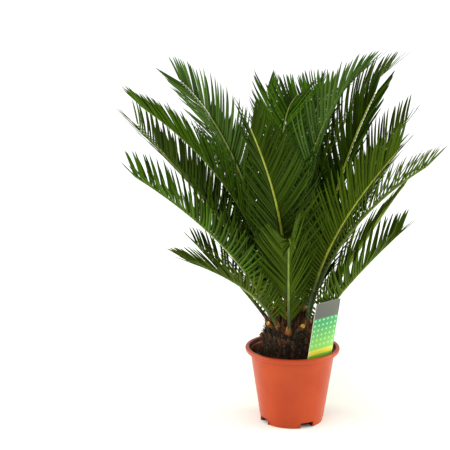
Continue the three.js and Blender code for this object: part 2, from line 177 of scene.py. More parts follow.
def roughStuff(name, dark, light, scale, grain, roughness, depth=0.0008, lengthwise=1.0):
    # Earth, bark and fibre: two colours in patches, with grain in the colour and in the surface.
    material, surface, start, place = startMaterial(name)
    place = stretched(place, 1, 1, lengthwise)
    cloud = spots(place, scale, 4.0)
    fine = spots(place, grain, 4.0, 0.7)
    plug(surface, colour=(cloud * 0.8 + fine * 0.7).step(0.45, 1.05).colours(dark, light),
         roughness=fine * 0.2 + (roughness - 0.1), normal=bump(fine + cloud * 0.5, depth, 0.8))
    setShine(surface, 0.25)
    return material


# Meshes and pieces.

def meshFrom(name, vertices, faces, edges=()):
    mesh = bpy.data.meshes.new(name)
    mesh.from_pydata([tuple(vertex) for vertex in vertices], list(edges), faces)
    mesh.update()
    return mesh


def put(data):  # a mesh, a light or a camera as a thing of the same name
    thing = bpy.data.objects.new(data.name, data)
    bpy.context.scene.collection.objects.link(thing)
    return thing


def keep(mesh, **rows):  # rows of a number or a vector for each vertex
    for name, values in rows.items():
        if isinstance(values[0], Vector):
            flat = [part for vector in values for part in vector]
            mesh.attributes.new(name, "FLOAT_VECTOR", "POINT").data.foreach_set("vector", flat)
        else:
            mesh.attributes.new(name, "FLOAT", "POINT").data.foreach_set("value", values)


def faceOutwards(mesh):
    work = bmesh.new()
    work.from_mesh(mesh)
    bmesh.ops.recalc_face_normals(work, faces=work.faces)
    work.to_mesh(mesh)
    work.free()
    return mesh


def ringSkin(rings, closed=True):  # vertices and faces over a row of rings of the same count
    count = len(rings[0])
    faces = []
    for k in range(len(rings) - 1):
        for j in range(count):
            a, b = k * count + j, k * count + (j + 1) % count
            faces.append((a, b, b + count, a + count))
    if closed:
        faces.append(tuple(reversed(range(count))))
        last = (len(rings) - 1) * count
        faces.append(tuple(range(last, last + count)))
    return [point for ring in rings for point in ring], faces


def skinMesh(name, rings):
    return faceOutwards(meshFrom(name, *ringSkin(rings)))


def addSkin(vertices, faces, rings):  # one more closed skin at the end of both lists
    ringVertices, ringFaces = ringSkin(rings)
    faces += [tuple(len(vertices) + corner for corner in face) for face in ringFaces]
    vertices += ringVertices


def domedMesh(name, rings, low, high):  # a skin closed by a fan to one point at each end
    vertices, faces = ringSkin(rings, closed=False)
    count = len(rings[0])
    last = (len(rings) - 1) * count
    poles = len(vertices)
    for j in range(count):
        following = (j + 1) % count
        faces += [(following, j, poles), (last + j, last + following, poles + 1)]
    return faceOutwards(meshFrom(name, vertices + [low, high], faces))


def filleted(corners, closed=False):
    # A flat outline through corners (x, y, fillet), each one rounded by its own fillet.
    steps, most = 4, 0.45
    points = []
    for k, (x, y, fillet) in enumerate(corners):
        here = Vector((x, y))
        if not fillet or (not closed and k in (0, len(corners) - 1)):
            points.append(here)
            continue
        before, after = (Vector(corners[(k + way) % len(corners)][:2]) - here for way in (-1, 1))
        reach = min(fillet / math.tan(before.angle(after) / 2), before.length * most, after.length * most)
        first, last = here + before.normalized() * reach, here + after.normalized() * reach
        for step in range(steps + 1):
            share = step / steps
            points.append(first.lerp(here, share).lerp(here.lerp(last, share), share))
    return points


def turnedMesh(name, outline, segments):  # the outline starts and ends on the axis
    rings = [[away * point.x + up * point.y for away in allRound(segments)] for point in outline[1:-1]]
    return domedMesh(name, rings, up * outline[0].y, up * outline[-1].y)


def plainMesh(thing):  # what the modifiers make of a thing
    bpy.context.view_layer.update()
    evaluated = thing.evaluated_get(bpy.context.evaluated_depsgraph_get())
    return bpy.data.meshes.new_from_object(evaluated)


def combine(thing, operation, mesh):
    tool = put(mesh)
    modifier = thing.modifiers.new("combine", "BOOLEAN")
    modifier.operation = operation
    modifier.object = tool
    result = plainMesh(thing)
    thing.modifiers.clear()
    thing.data = result
    discard(tool)


def discard(*things):
    for thing in things:
        bpy.data.objects.remove(thing)


def joined(meshes, name):  # each mesh has one material on all its faces
    work = bmesh.new()
    result = bpy.data.meshes.new(name)
    for k, mesh in enumerate(meshes):
        first = len(work.faces)
        work.from_mesh(mesh)
        work.faces.ensure_lookup_table()
        for face in work.faces[first:]:
            face.material_index = k
        result.materials.append(mesh.materials[mesh.polygons[0].material_index])
    work.to_mesh(result)
    work.free()
    return result


def finishPiece(piece, slot, *nodes, sharpFrom=None):
    for polygon in piece.data.polygons:
        polygon.use_smooth = True
    if sharpFrom:
        piece.data.set_sharp_from_angle(angle=math.radians(sharpFrom))
    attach(piece, "root")
    if nodes:
        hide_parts(*nodes)
    print("piece", piece.name, len(piece.data.polygons), "faces")


# Geometry Nodes: trees with named inputs, run once and kept as plain meshes.

def inputNames(sizes):  # liftSpread becomes Lift Spread
    return {"".join(" " + c if c.isupper() else c for c in key).title(): size for key, size in sizes.items()}


def newTree(name, sizes):
    tree = bpy.data.node_groups.new(name, "GeometryNodeTree")
    tree.interface.new_socket("Geometry", in_out="OUTPUT", socket_type="NodeSocketGeometry")
    for kind, labels in {"Geometry": ["Geometry"], **sizes}.items():
        for label in labels:
            tree.interface.new_socket(label, in_out="INPUT", socket_type="NodeSocket" + kind)
    source = tree.nodes.new("NodeGroupInput")
    return tree, {socket.name: Wire(tree, socket) for socket in source.outputs if socket.name}


def realized(geometry):
    return geometry.node("GeometryNodeRealizeInstances", None, {"Geometry": geometry})


def endTree(geometry, material):
    plain = realized(geometry)
    painted = plain.node("GeometryNodeSetMaterial", None, {"Geometry": plain, "Material": material})
    end = geometry.tree.nodes.new("NodeGroupOutput")
    geometry.tree.links.new(painted.socket, end.inputs[0])


def grown(thing, tree, inputs, name):
    modifier = thing.modifiers.new("grow", "NODES")
    modifier.node_group = tree
    for item in tree.interface.items_tree:
        if item.item_type == "SOCKET" and item.in_out == "INPUT" and item.name in inputs:
            modifier[item.identifier] = inputs[item.name]
    thing.update_tag()
    mesh = plainMesh(thing)
    mesh.name = name
    thing.modifiers.remove(modifier)
    return mesh


def attribute(start, name, kind="FLOAT"):
    return start.node("GeometryNodeInputNamedAttribute", {"data_type": kind}, {"Name": name})


def arrow(start, name):
    return attribute(start, name, "FLOAT_VECTOR")


def upright(start, length):
    return start.node("ShaderNodeCombineXYZ", None, {2: length})


def facing(start, forward, face):
    axes = {"primary_axis": "Y", "secondary_axis": "Z"}
    return start.node("FunctionNodeAxesToRotation", axes, {0: forward, 1: face})


def curveOf(mesh):
    return mesh.node("GeometryNodeMeshToCurve", None, {"Mesh": mesh})


def shapeOf(start, thing):
    return start.node("GeometryNodeObjectInfo", None, {"Object": thing}).out("Geometry")


def stored(geometry, kind, **values):
    settings = {"data_type": kind, "domain": "POINT"}
    for name, value in values.items():
        inputs = {"Geometry": geometry, "Name": name, "Value": value}
        geometry = geometry.node("GeometryNodeStoreNamedAttribute", settings, inputs)
    return geometry


def without(geometry, *names):
    for name in names:
        geometry = geometry.node("GeometryNodeRemoveAttribute", None, {"Geometry": geometry, "Name": name})
    return geometry


def chance(start, seed, low=-1, high=1):
    inputs = {2: low, 3: high, "ID": start.node("GeometryNodeInputIndex"), "Seed": seed}
    return start.node("FunctionNodeRandomValue", {"data_type": "FLOAT"}, inputs, 1)


stretchSpread = (0.8, 1.2)


# Puts one shape on every point, pointing away and lifted, each a little different.
def buildShapeTree():
    tree, given = newTree("shapesOnPoints", {
        "Object": ["Shape"], "Material": ["Material"], "Int": ["Seed"],
        "Float": ["Smallest", "Largest", "Stretch", "Lift", "Lift Spread", "Sway", "Roll"],
    })
    start, seed = given["Geometry"], given["Seed"]
    away = arrow(start, "away")
    side = start.node("ShaderNodeVectorMath", {"operation": "CROSS_PRODUCT"}, {0: tuple(up), 1: away})
    level = away.towards(side, given["Sway"] * chance(start, seed + 1))
    liftCos, liftSin = (given["Lift"] + given["Lift Spread"] * chance(start, seed)).turn()
    forward = level.times(liftCos).plus(upright(start, liftSin))
    face = level.times(liftSin * -1.0).plus(upright(start, liftCos))
    face = face.towards(side, given["Roll"] * chance(start, seed + 2))
    size = chance(start, seed + 3, given["Smallest"], given["Largest"]) * attribute(start, "grow")
    longSize = size * given["Stretch"] * chance(start, seed + 4, *stretchSpread)
    made = start.node("GeometryNodeInstanceOnPoints", None, {
        "Points": start,
        "Instance": shapeOf(start, given["Shape"]),
        "Rotation": facing(start, forward, face),
        "Scale": start.node("ShaderNodeCombineXYZ", None, {0: size, 1: longSize, 2: size}),
    })
    endTree(without(realized(made), "away", "grow"), given["Material"])
    return tree


shapeTree = buildShapeTree()


def scattered(name, points, shape, material, **sizes):
    # A point is a place, its way outwards and its share of the size.
    places, aways, shares = zip(*points)
    mesh = meshFrom(name, places, [])
    keep(mesh, away=aways, grow=shares)
    carrier = put(mesh)
    shapeThing = put(shape)
    inputs = {**inputNames(sizes), "Shape": shapeThing, "Material": material}
    result = grown(carrier, shapeTree, inputs, name)
    discard(carrier, shapeThing)
    return result


# Camera and light.

view = {
    "place": (-0.1358, -2.65, 0.99),
    "lookDown": 12.5,
    "lens": 110,
    "sensor": 36,
    "farthest": 100,
    "aim": (0, 0, 0.35),
    "floorSize": 60,
    "floor": tint(255, 255, 255),
    "floorRoughness": 0.9,
    "sky": (1.0, 1.0, 1.0, 1),
    "skyStrength": 0.85,
    "sunTilt": (16, -10),
    "sunStrength": 1.10,
    "sunSpread": 40,
}

lamps = [  # name, place, size, power in watts, colour
    ("left", (-2.0, 0.1, 0.5), 1.3, 31, (0.88, 1.10, 0.78)),
    ("right", (2.0, 0.1, 0.5), 1.3, 37, (0.88, 1.10, 0.78)),
    ("front", (-0.5, -3.2, 2.4), 1.4, 8, (1.0, 1.0, 1.0)),
]


def setStage():
    scene = bpy.context.scene
    camera = put(bpy.data.cameras.new("camera"))
    camera.data.lens = view["lens"]
    camera.data.sensor_width = view["sensor"]
    camera.data.clip_end = view["farthest"]
    camera.location = view["place"]
    camera.rotation_euler = (math.radians(90 - view["lookDown"]), 0, 0)
    scene.camera = camera
    half = view["floorSize"] / 2
    corners = [(-half, -half, 0), (half, -half, 0), (half, half, 0), (-half, half, 0)]
    floor = put(meshFrom("floor", corners, [(0, 1, 2, 3)]))
    material, surface, start, place = startMaterial("floor")
    surface.inputs["Base Color"].default_value = view["floor"]
    surface.inputs["Roughness"].default_value = view["floorRoughness"]
    floor.data.materials.append(material)
    world = bpy.data.worlds.new("studio")
    world.use_nodes = True
    background = world.node_tree.nodes["Background"].inputs
    background["Color"].default_value = view["sky"]
    background["Strength"].default_value = view["skyStrength"]
    scene.world = world
    scene.view_settings.view_transform = "Standard"
    sun = put(bpy.data.lights.new("sun", "SUN"))
    sun.data.energy = view["sunStrength"]
    sun.data.angle = math.radians(view["sunSpread"])
    sun.rotation_euler = [math.radians(part) for part in (*view["sunTilt"], 0)]
    for name, spot, size, power, colour in lamps:
        lamp = put(bpy.data.lights.new(name, "AREA"))
        lamp.data.shape = "SQUARE"
        lamp.data.size = size
        lamp.data.energy = power
        lamp.data.color = colour
        lamp.location = spot
        lamp.rotation_euler = (Vector(view["aim"]) - Vector(spot)).to_track_quat("-Z", "Y").to_euler()
    print("stage set")


setStage()

# Pot: a turned shell with a rolled lip, and four drain notches cut into its foot.

pot = {
    "height": 0.153,
    "rimRadius": 0.095,
    "mouthRadius": 0.0875,
    "lipHeight": 0.009,
    "bandHeight": 0.010,
    "bandStep": 0.0009,
    "wallTopRadius": 0.0834,
    "wallFootRadius": 0.0636,
    "wallThickness": 0.0022,
    "floorThickness": 0.003,
    "footHeight": 0.009,
    "footRadius": 0.062,
    "footFlare": 0.0009,
    "footStep": 0.0008,
    "stepRise": 0.0006,
    "lipInset": 0.0022,
    "lipRise": 0.0034,
    "segments": 160,
}

notch = {
    "directions": [26, 116, 206, 296],
    "width": 0.029,
    "height": 0.0115,
    "innerRadius": 0.042,
    "cornerRadius": 0.0025,
    "wall": 0.002,
    "drainRadius": 0.005,
    "drainDistance": 0.049,
    "drainSides": 24,
    "drainHeights": (0.004, 0.020),
    "spare": 0.001,
}

potLook = {
    "plain": tint(181, 63, 13),
    "deep": tint(171, 55, 9),
    "worn": tint(214, 108, 64),
    # the inner wall's colour: soil dust together with painted shade
    "earthAndShade": tint(34, 20, 12),
    "roughness": 0.30,
    "wallRise": 0.125,
    "innerFoot": (0.0622, 0.0612),  # from outside to inside, brought down along the wall to its foot
    "mouthHeight": (0.1445, 0.1465),
    "mouthReach": (0.0882, 0.0868),
    "lipWear": (0.148, 0.153),
    "footWear": (0.012, 0.002),
}


def outerWall(height):
    bandFoot = pot["height"] - pot["lipHeight"] - pot["bandHeight"]
    share = (height - pot["footHeight"]) / (bandFoot - pot["footHeight"])
    return mix(pot["wallFootRadius"], pot["wallTopRadius"], share)


def innerWall(height):
    return outerWall(height) - pot["wallThickness"]


def potOutline():
    bandTop = pot["height"] - pot["lipHeight"]
    bandFoot = bandTop - pot["bandHeight"]
    foot, floor, rim, mouth = pot["footHeight"], pot["floorThickness"], pot["rimRadius"], pot["mouthRadius"]
    # Reach, height and fillet of each corner, from the middle of the underside to that of the floor.
    return filleted([
        (0, 0, 0),
        (pot["footRadius"], 0, 0.0008),
        (pot["footRadius"] + pot["footFlare"], foot, 0.0003),
        (outerWall(foot) + pot["footStep"], foot + pot["stepRise"], 0.0004),
        (outerWall(bandFoot), bandFoot, 0.0006),
        (outerWall(bandFoot) + pot["bandStep"], bandFoot + pot["stepRise"], 0.0004),
        (outerWall(bandTop) + pot["bandStep"], bandTop, 0.0008),
        (rim - pot["lipInset"], bandTop, 0.0012),
        (rim, bandTop + pot["lipRise"], 0.0030),
        (rim, pot["height"], 0.0034),
        (mouth, pot["height"], 0.0030),
        (innerWall(bandTop), bandTop - 0.001, 0.0030),
        (innerWall(floor), floor, 0.0020),
        (0, floor, 0),
    ])


def archMesh(name, width, low, high, near, far):
    # One arch at each notch: upright sides, rounded upper corners, straight outwards.
    outline = filleted([
        (-width / 2, low, 0), (-width / 2, high, notch["cornerRadius"]),
        (width / 2, high, notch["cornerRadius"]), (width / 2, low, 0),
    ])
    vertices, faces = [], []
    for direction in notch["directions"]:
        away, side = outwards(direction), outwards(direction + 90)
        addSkin(vertices, faces, [[away * distance + side * point.x + up * point.y for point in outline]
                                  for distance in (near, far)])
    return faceOutwards(meshFrom(name, vertices, faces))


def drainMesh():
    vertices, faces = [], []
    sides = notch["drainSides"]
    for direction in notch["directions"]:
        middle = outwards(direction) * notch["drainDistance"]
        addSkin(vertices, faces, [
            [middle + outwards(360 / sides * j) * notch["drainRadius"] + up * height for j in range(sides)]
            for height in notch["drainHeights"]])
    return faceOutwards(meshFrom("drains", vertices, faces))


def potMaterial():
    material, surface, start, place = startMaterial("pot_plastic")
    x, y, height = place.parts()
    reach = reachOf(x, y)
    wallSlope = (pot["wallTopRadius"] - pot["wallFootRadius"]) / potLook["wallRise"]
    wall = (reach - (height - pot["footHeight"]) * wallSlope).step(*potLook["innerFoot"])
    mouth = height.step(*potLook["mouthHeight"]) * reach.step(*potLook["mouthReach"])
    inside = wall.maths("MAXIMUM", mouth)
    cloud = spots(place, 16, 3.0)
    scuffs = spots(stretched(place, 1, 1, 7), 120, 4.0, 0.7).step(0.60, 0.74)
    edge = height.step(*potLook["lipWear"]) + height.step(*potLook["footWear"])
    worn = scuffs * (edge * 0.6 + 0.14)
    body = cloud.step(0.3, 0.7).colours(potLook["deep"], potLook["plain"])
    body = worn.colours(body, potLook["worn"])
    # Painted shade with some soil dust: the inner wall, and the mouth's inside edge, darken towards the dust
    # and shade colour.
    dustAndShade = inside * (spots(place, 90, 4.0).step(0.35, 0.7) * 0.2 + 0.8)
    plug(surface, colour=dustAndShade.colours(body, potLook["earthAndShade"]))
    fine = spots(place, 1400, 2.0)
    plug(surface, roughness=worn * 0.25 + dustAndShade * 0.4 + fine * 0.12 + potLook["roughness"])
    rings = spots(stretched(place, 0.2, 0.2, 1), 900, 1.0)
    plug(surface, normal=bump(fine * 0.5 + rings * 0.35 + worn, 0.0001, 0.35))
    setShine(surface, 0.3)
    return material


def buildPot():
    piece = put(turnedMesh("pot_shell", potOutline(), pot["segments"]))
    roof = notch["height"] + notch["wall"]
    spare = notch["spare"]
    far = innerWall(notch["height"]) + spare
    wide = notch["width"] + 2 * notch["wall"]
    near = notch["innerRadius"] - notch["wall"]
    combine(piece, "UNION", archMesh("pockets", wide, spare, roof, near, far))
    combine(piece, "DIFFERENCE", archMesh("notches", notch["width"], -2 * spare, notch["height"],
                                          notch["innerRadius"], pot["rimRadius"]))
    combine(piece, "DIFFERENCE", drainMesh())
    piece.data.materials.clear()
    piece.data.materials.append(potMaterial())
    finishPiece(piece, "pot", "pot", sharpFrom=38)


buildPot()

# Trunk outline, shared by the trunk, the crown and the soil.

trunk = {
    "centre": Vector((-0.006, 0, 0)),
    "profile": [
        (0.054, 0.1373), (0.050, 0.1463), (0.052, 0.166), (0.050, 0.182), (0.046, 0.196),
        (0.041, 0.208), (0.034, 0.218), (0.025, 0.226), (0.013, 0.232),
    ],
    "segments": 160,
    "levels": 70,
    "lowest": 0.133,
    "inset": 0.002,
    "lumps": (5, 90, 0.0042),  # scale round the trunk and along it, and depth
    "furrows": (26, 120, 0.0016),
}


def trunkRadius(height):
    profile = trunk["profile"]
    if height <= profile[0][1]:
        return profile[0][0]
    for (lowRadius, low), (highRadius, high) in zip(profile, profile[1:]):
        if height < high:
            return mix(lowRadius, highRadius, (height - low) / (high - low))
    return profile[-1][0]


def onTrunk(away, height, off):
    return trunk["centre"] + away * (trunkRadius(height) + off) + up * height


# Soil: a lumpy plug inside the wall, with loose crumbs and a few straws on top.

tumbled = {"lift": 0, "liftSpread": 70, "sway": 90, "roll": 90}

soil = {
    "level": 0.1362,
    "edgeDrop": 0.003,
    "edgeReach": (0.062, 0.081),
    "clearance": 0.0003,
    "wallDrop": 0.004,
    "rings": 46,
    "segments": 144,
    "lumps": 0.0022,
    "lumpScale": 70,
    "crumbs": 1500,
    "crumbReach": 0.0795,
    "crumbSink": 0.0004,
    "crumbLeast": 0.35,
    "crumbLumps": (2.6, 0.45),  # scale and depth
    "trunkRoom": 0.050,
    "crumbLay": {"smallest": 0.0010, "largest": 0.0034, "stretch": 1.2, "seed": 3, **tumbled},
    "straws": 46,
    "strawReach": (0.058, 0.078),
    "strawRise": (-0.001, 0.002),
    "strawGrow": (0.5, 1.0),
    "strawLay": {"smallest": 0.012, "largest": 0.026, "stretch": 1, "seed": 4,
                 "lift": 8, "liftSpread": 14, "sway": 30, "roll": 60},
    "strawShape": (0.03, 0.16),
    "earth": (tint(14, 10, 7), tint(44, 33, 22), 260, 1100, 0.95, 0.0016),
    "crumb": (tint(18, 13, 9), tint(58, 43, 29), 140, 1500, 0.95),
    "straw": (tint(96, 78, 46), tint(158, 138, 90), 300, 1500, 0.8, 0.0002),
}

strand = {  # a hair of unit length: how many sides and rings, how much it thins and how far it curls
    "sides": 3,
    "rings": 6,
    "thinning": 0.75,
    "curl": 2.2,
    "rise": 0.8,
}


def soilHeight(x, y):
    reach = math.hypot(x, y)
    scale = soil["lumpScale"]
    rough = noise.fractal(Vector((x * scale, y * scale, 3.1)), 1.0, 2.1, 4) * soil["lumps"]
    return soil["level"] + rough - soil["edgeDrop"] * smooth(reach, *soil["edgeReach"])


def crumbMesh():
    work = bmesh.new()
    bmesh.ops.create_icosphere(work, subdivisions=2, radius=0.5)
    scale, depth = soil["crumbLumps"]
    for vertex in work.verts:
        vertex.co *= 1 + depth * noise.noise(vertex.co * scale + Vector((4, 1, 7)))
    mesh = bpy.data.meshes.new("crumb")
    work.to_mesh(mesh)
    work.free()
    return mesh


def strandMesh(name, thick, bow):
    # A curved hair along Y, thinner to its tip.
    rings = []
    for k in range(strand["rings"]):
        share = k / (strand["rings"] - 1)
        wide = thick * (1 - strand["thinning"] * share)
        middle = Vector((bow * math.sin(share * strand["curl"]) * share, share,
                         bow * strand["rise"] * share * (1 - share)))
        turns = [math.tau * j / strand["sides"] for j in range(strand["sides"])]
        rings.append([middle + Vector((math.cos(turn), 0, math.sin(turn))) * wide for turn in turns])
    return skinMesh(name, rings)


def buildSoil():
    edge = soil["level"] - soil["edgeDrop"]
    floor = notch["height"] + notch["wall"] + soil["clearance"]
    wall = innerWall(edge) - soil["clearance"]
    directions = allRound(soil["segments"])
    rings = [[d * (innerWall(floor) - soil["clearance"]) + up * floor for d in directions],
             [d * wall + up * (edge - soil["wallDrop"]) for d in directions]]
    for k in range(soil["rings"]):
        reach = wall * (1 - k / soil["rings"])
        rings.append([d * reach + up * soilHeight(d.x * reach, d.y * reach) for d in directions])
    piece = put(domedMesh("soil_plug", rings, up * floor, up * soilHeight(0, 0)))
    piece.data.materials.append(roughStuff("soil_earth", *soil["earth"]))
    finishPiece(piece, "soil", "soil")


def strewSoil():
    dice = random.Random(11)
    crumbs, straws = [], []
    while len(crumbs) < soil["crumbs"]:
        reach = soil["crumbReach"] * math.sqrt(dice.random())
        spot = outwards(dice.uniform(0, 360)) * reach
        if (spot - trunk["centre"]).length > soil["trunkRoom"]:
            spot.z = soilHeight(spot.x, spot.y) - soil["crumbSink"]
            crumbs.append((spot, outwards(dice.uniform(0, 360)), dice.random() ** 2 + soil["crumbLeast"]))
    for k in range(soil["straws"]):
        away = outwards(dice.uniform(0, 360))
        reach = dice.uniform(*soil["strawReach"])
        spot = away * reach + up * (soil["level"] + dice.uniform(*soil["strawRise"]))
        straws.append((spot, outwards(dice.uniform(0, 360)), dice.uniform(*soil["strawGrow"])))
    stuff = roughStuff("soil_crumb", *soil["crumb"])
    finishPiece(put(scattered("soil_crumbs", crumbs, crumbMesh(), stuff, **soil["crumbLay"])), "soil")
    stuff = roughStuff("soil_straw", *soil["straw"])
    shape = strandMesh("straw", *soil["strawShape"])
    finishPiece(put(scattered("soil_straws", straws, shape, stuff, **soil["strawLay"])), "soil")


buildSoil()
strewSoil()

# Trunk: a furrowed core, old leaf bases in a spiral, fibres between them, cut stalks and wool.

bark = {
    "dark": tint(15, 10, 6),
    "brown": tint(46, 29, 16),
    "red": tint(86, 42, 22),
    "grey": tint(84, 68, 48),
    "tan": tint(116, 72, 46),
    "ochre": tint(168, 108, 42),
    "straw": tint(226, 196, 108),
    "wool": tint(112, 70, 38),
}

bases = {
    "count": 420,
    "turn": 137.508,  # the angle from each old leaf to the next
    "low": 0.139,
    "high": 0.226,
    "sink": 0.0045,
    "smaller": (0.19, 0.23),  # the heights between which the scales shrink to the share below
    "topSize": 0.62,
    "kinds": [("dark", "brown"), ("dark", "grey"), ("brown", "red")],
    "look": (130, 700, 0.88, 0.001, 0.5),  # patches, grain, roughness, depth, lengthwise
    "lay": {"smallest": 0.004, "largest": 0.010, "stretch": 1.7, "seed": 20,
            "lift": 66, "liftSpread": 24, "sway": 30, "roll": 40},
    "rings": [(0, 1, 0.60, 0), (0.35, 0.98, 0.62, 0.02), (0.7, 0.84, 0.50, 0.08),
              (0.92, 0.66, 0.36, 0.15), (1, 0.46, 0.20, 0.19)],
    "outline": [(1, 0), (0.55, 0.42), (-0.05, 0.5), (-0.6, 0.38), (-1, 0), (-0.5, -0.42), (0.45, -0.5)],
}

fibres = {
    "count": 800,  # of each kind
    "heights": (0.140, 0.229),
    "off": (-0.002, 0.003),  # from the trunk's surface
    "grow": (0.6, 1.0),
    "kinds": [("dark", "red"), ("dark", "grey"), ("brown", "wool")],
    "look": (200, 1500, 0.8, 0.0002),
    "lay": {"smallest": 0.007, "largest": 0.020, "stretch": 1, "seed": 40,
            "lift": 48, "liftSpread": 48, "sway": 55, "roll": 90},
    "shape": (0.022, 0.22),
}

stubs = {  # places are directions and heights, rings are shares of the length and of the size
    "places": [(212, 0.200), (297, 0.200), (20, 0.168), (75, 0.162), (130, 0.174), (165, 0.166)],
    "rings": [(-0.1, 0.92), (0.25, 1.04), (0.6, 0.96), (0.9, 0.84), (1.0, 0.78), (1.0, 0.66), (0.95, 0.56)],
    "length": 0.013,
    "root": 0.008,
    "drop": 0.004,
    "width": 0.014,
    "height": 0.011,
    "lift": 38,
    "wobble": 0.10,
}

scar = {  # a patch of loose reddish crumbs where an old shoot was taken off
    "direction": 250,
    "height": 0.177,
    "count": 150,
    "width": 0.019,
    "rise": 0.012,
    "spread": 0.45,
    "farthest": 1.2,
    "off": (-0.001, 0.002),
    "grow": (0.4, 1.0),
    "lay": {"smallest": 0.0014, "largest": 0.0046, "stretch": 1.3, "seed": 5, **tumbled},
}

wool = {
    "count": 120,
    "low": 0.196,
    "high": 0.2315,
    "sink": 0.003,
    "first": 40,  # the direction of the first scale
    "rings": (0, 0.3, 0.65, 0.9),
    "halfWidth": 0.13,
    "hook": 0.10,
    "kinds": [("dark", "wool"), ("brown", "red")],
    "look": (160, 1300, 0.9, 0.0005),
    "lay": {"smallest": 0.016, "largest": 0.030, "stretch": 1, "seed": 60,
            "lift": 66, "liftSpread": 14, "sway": 24, "roll": 20},
}


def strewn(name, stuff, piece, groups, shape):
    # One shape in several colours of bark, each kind with its own points and seed.
    made = []
    for k, (dark, light) in enumerate(piece["kinds"]):
        skin = roughStuff(stuff + "_" + light, bark[dark], bark[light], *piece["look"])
        lay = {**piece["lay"], "seed": piece["lay"]["seed"] + k}
        made.append(scattered("strewn", groups[k], shape(), skin, **lay))
    return put(joined(made, name))


def buildCore():
    rings = []
    top = trunk["profile"][-1][1]
    lumpRound, lumpAlong, lumps = trunk["lumps"]
    furrowRound, furrowAlong, furrows = trunk["furrows"]
    for k in range(trunk["levels"]):
        height = mix(trunk["lowest"], top, k / (trunk["levels"] - 1))
        ring = []
        for away in allRound(trunk["segments"]):
            lump = noise.fractal(away * lumpRound + up * height * lumpAlong, 1.0, 2.0, 3) * lumps
            furrow = noise.noise(away * furrowRound + up * height * furrowAlong) * furrows
            reach = trunkRadius(height) - trunk["inset"] + lump + furrow
            ring.append(trunk["centre"] + away * reach + up * height)
        rings.append(ring)
    low, high = (trunk["centre"] + up * height for height in (trunk["lowest"], top + trunk["inset"]))
    piece = put(domedMesh("trunk_core", rings, low, high))
    piece.data.materials.append(roughStuff("bark", bark["dark"], bark["brown"], 70, 420, 0.9, 0.002, 0.35))
    finishPiece(piece, "trunk", "trunk")


def leafBaseMesh():
    # An old leaf base: broad and flat, with a ridge below and a broken end.
    rings = [[(x * wide * 0.5, share * 0.9, z * thick + rise) for x, z in bases["outline"]]
             for share, wide, thick, rise in bases["rings"]]
    return skinMesh("leafBase", rings)


def spiralPlaces(piece, first=0):
    places = []
    for k in range(piece["count"]):
        height = mix(piece["low"], piece["high"], k / (piece["count"] - 1))
        away = outwards(first + k * bases["turn"])
        size = mix(1, bases["topSize"], smooth(height, *bases["smaller"]))
        places.append((onTrunk(away, height, -piece["sink"]), away, size))
    return places


def buildBases():
    places = list(enumerate(spiralPlaces(bases)))
    groups = [[spot for j, spot in places if (j * 7 + j // 5) % 3 == k] for k in range(3)]
    finishPiece(strewn("trunk_leaf_bases", "leaf_base", bases, groups, leafBaseMesh), "trunk", sharpFrom=50)


def buildFibres():
    dice = random.Random(23)
    groups = []
    for kind in fibres["kinds"]:
        points = []
        for j in range(fibres["count"]):
            height = dice.uniform(*fibres["heights"])
            away = outwards(dice.uniform(0, 360))
            spot = onTrunk(away, height, dice.uniform(*fibres["off"]))
            points.append((spot, away, dice.uniform(*fibres["grow"])))
        groups.append(points)
    piece = strewn("trunk_fibres", "fibre", fibres, groups, lambda: strandMesh("fibre", *fibres["shape"]))
    finishPiece(piece, "trunk")


def stalkRing(centre, side, rise, width, height):
    corners = [(1, 0.1), (0.8, 0.62), (0.4, 0.92), (0, 1), (-0.4, 0.92), (-0.8, 0.62),
               (-1, 0.1), (-0.7, -0.5), (-0.35, -0.85), (0, -1), (0.35, -0.85), (0.7, -0.5)]
    return [centre + side * (x * width / 2) + rise * (z * height / 2) for x, z in corners]


def buildStubs():
    # Each stub runs out of the trunk, with a sunken pale cut at its end.
    vertices, faces, cuts = [], [], []
    reach = stubs["root"] + stubs["length"]
    lift = math.radians(stubs["lift"])
    for direction, height in stubs["places"]:
        away, side = outwards(direction), outwards(direction + 90)
        forward = away * math.cos(lift) + up * math.sin(lift)
        rise = up * math.cos(lift) - away * math.sin(lift)
        root = trunk["centre"] + away * (trunkRadius(height) - stubs["root"]) + up * (height - stubs["drop"])
        rings = []
        for share, size in stubs["rings"]:
            wobble = 1 + stubs["wobble"] * noise.noise(Vector((direction, height * 900, share * 3)))
            rings.append(stalkRing(root + forward * share * reach, side, rise,
                                   stubs["width"] * size * wobble, stubs["height"] * size * wobble))
        first = len(faces)
        addSkin(vertices, faces, rings)
        count = len(rings[0])
        cuts += [*range(first + 4 * count, first + 6 * count), len(faces) - 1]
    mesh = faceOutwards(meshFrom("cut_stalks", vertices, faces))
    mesh.materials.append(roughStuff("stalk_skin", bark["red"], bark["ochre"], 90, 900, 0.7, 0.0005))
    mesh.materials.append(roughStuff("stalk_cut", bark["ochre"], bark["straw"], 120, 1300, 0.8, 0.0004))
    for face in cuts:
        mesh.polygons[face].material_index = 1
    finishPiece(put(mesh), "trunk", sharpFrom=50)


def buildScar():
    dice = random.Random(31)
    points = []
    while len(points) < scar["count"]:
        across, rise = dice.gauss(0, scar["spread"]), dice.gauss(0, scar["spread"])
        if math.hypot(across, rise) < scar["farthest"]:
            height = scar["height"] + rise * scar["rise"]
            away = outwards(scar["direction"] + math.degrees(across * scar["width"] / trunkRadius(height)))
            spot = onTrunk(away, height, dice.uniform(*scar["off"]))
            points.append((spot, away, dice.uniform(*scar["grow"])))
    stuff = roughStuff("bark_scar", bark["brown"], bark["tan"], 420, 1300, 0.9, 0.001)
    finishPiece(put(scattered("trunk_scar", points, crumbMesh(), stuff, **scar["lay"])), "trunk")


def woolMesh():
    rings = []
    for share in wool["rings"]:
        wide = wool["halfWidth"] * (1 - share ** 2.5)
        rings.append([(x * wide, share, z * wide * 0.5 + wool["hook"] * share * share)
                      for x, z in [(1, 0), (0, 0.8), (-1, 0), (0, -0.8)]])
    return skinMesh("woolScale", rings)


